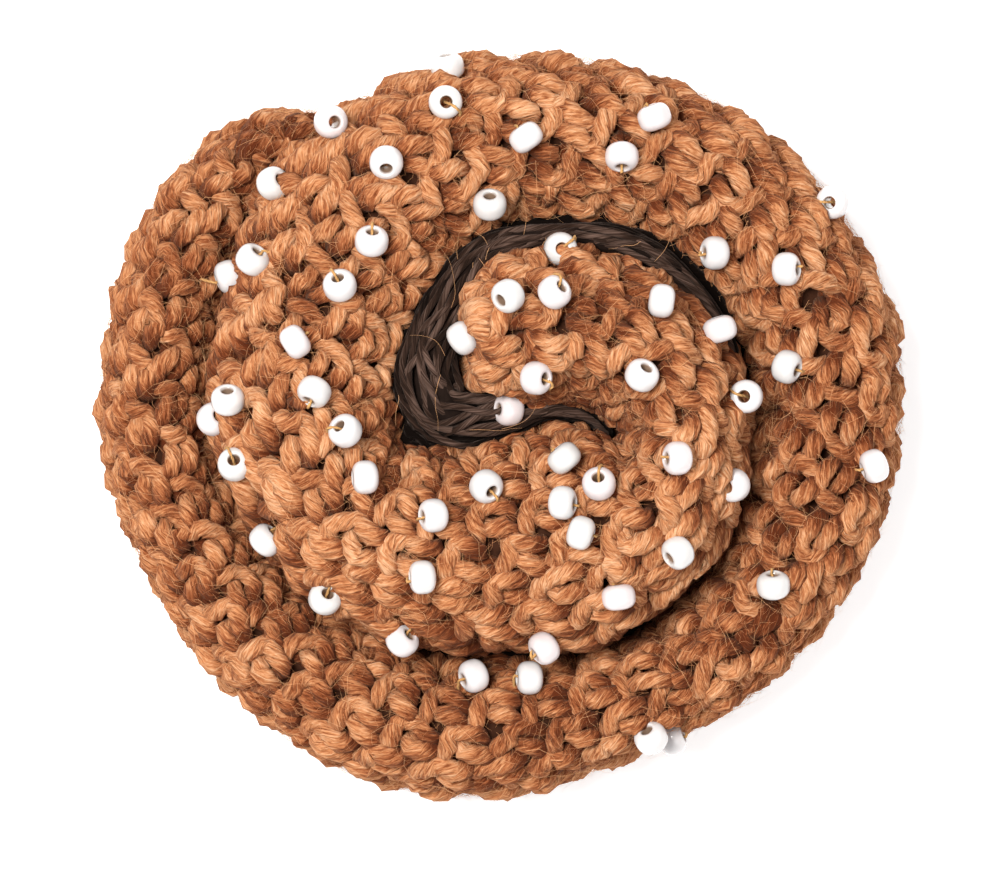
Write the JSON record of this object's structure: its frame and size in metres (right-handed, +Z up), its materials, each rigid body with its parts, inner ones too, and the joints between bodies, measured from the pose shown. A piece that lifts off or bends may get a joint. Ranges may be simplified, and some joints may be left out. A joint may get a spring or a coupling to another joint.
{
  "type": "crocheted toy cinnamon bun",
  "caption": "Crocheted toy cinnamon bun: a stuffed strip of yarn rolled into a raised spiral with dark yarn filling between its turns and white seed beads sewn on as sprinkles.",
  "frame": {"origin": "centre of the bun's outline in plan, on the surface it stands on", "axes": "+Z up, +X along the bun's longer way across and to the right of the picture, +Y to the top of the picture"},
  "size_m": [0.0899, 0.0832, 0.0439],
  "materials": {
    "dough_yarn": "soft matte, loosely twisted yarn in an orange brown, crocheted",
    "filling_yarn": "soft matte, dark brown yarn",
    "bead": "glossy, opaque white glass seed bead",
    "core": "matte, dark stuffing that shows between the stitches"
  },
  "bodies": {
    "root": {"dough_strip": "dough_yarn", "filling": "filling_yarn"}
  },
  "joints": []
}
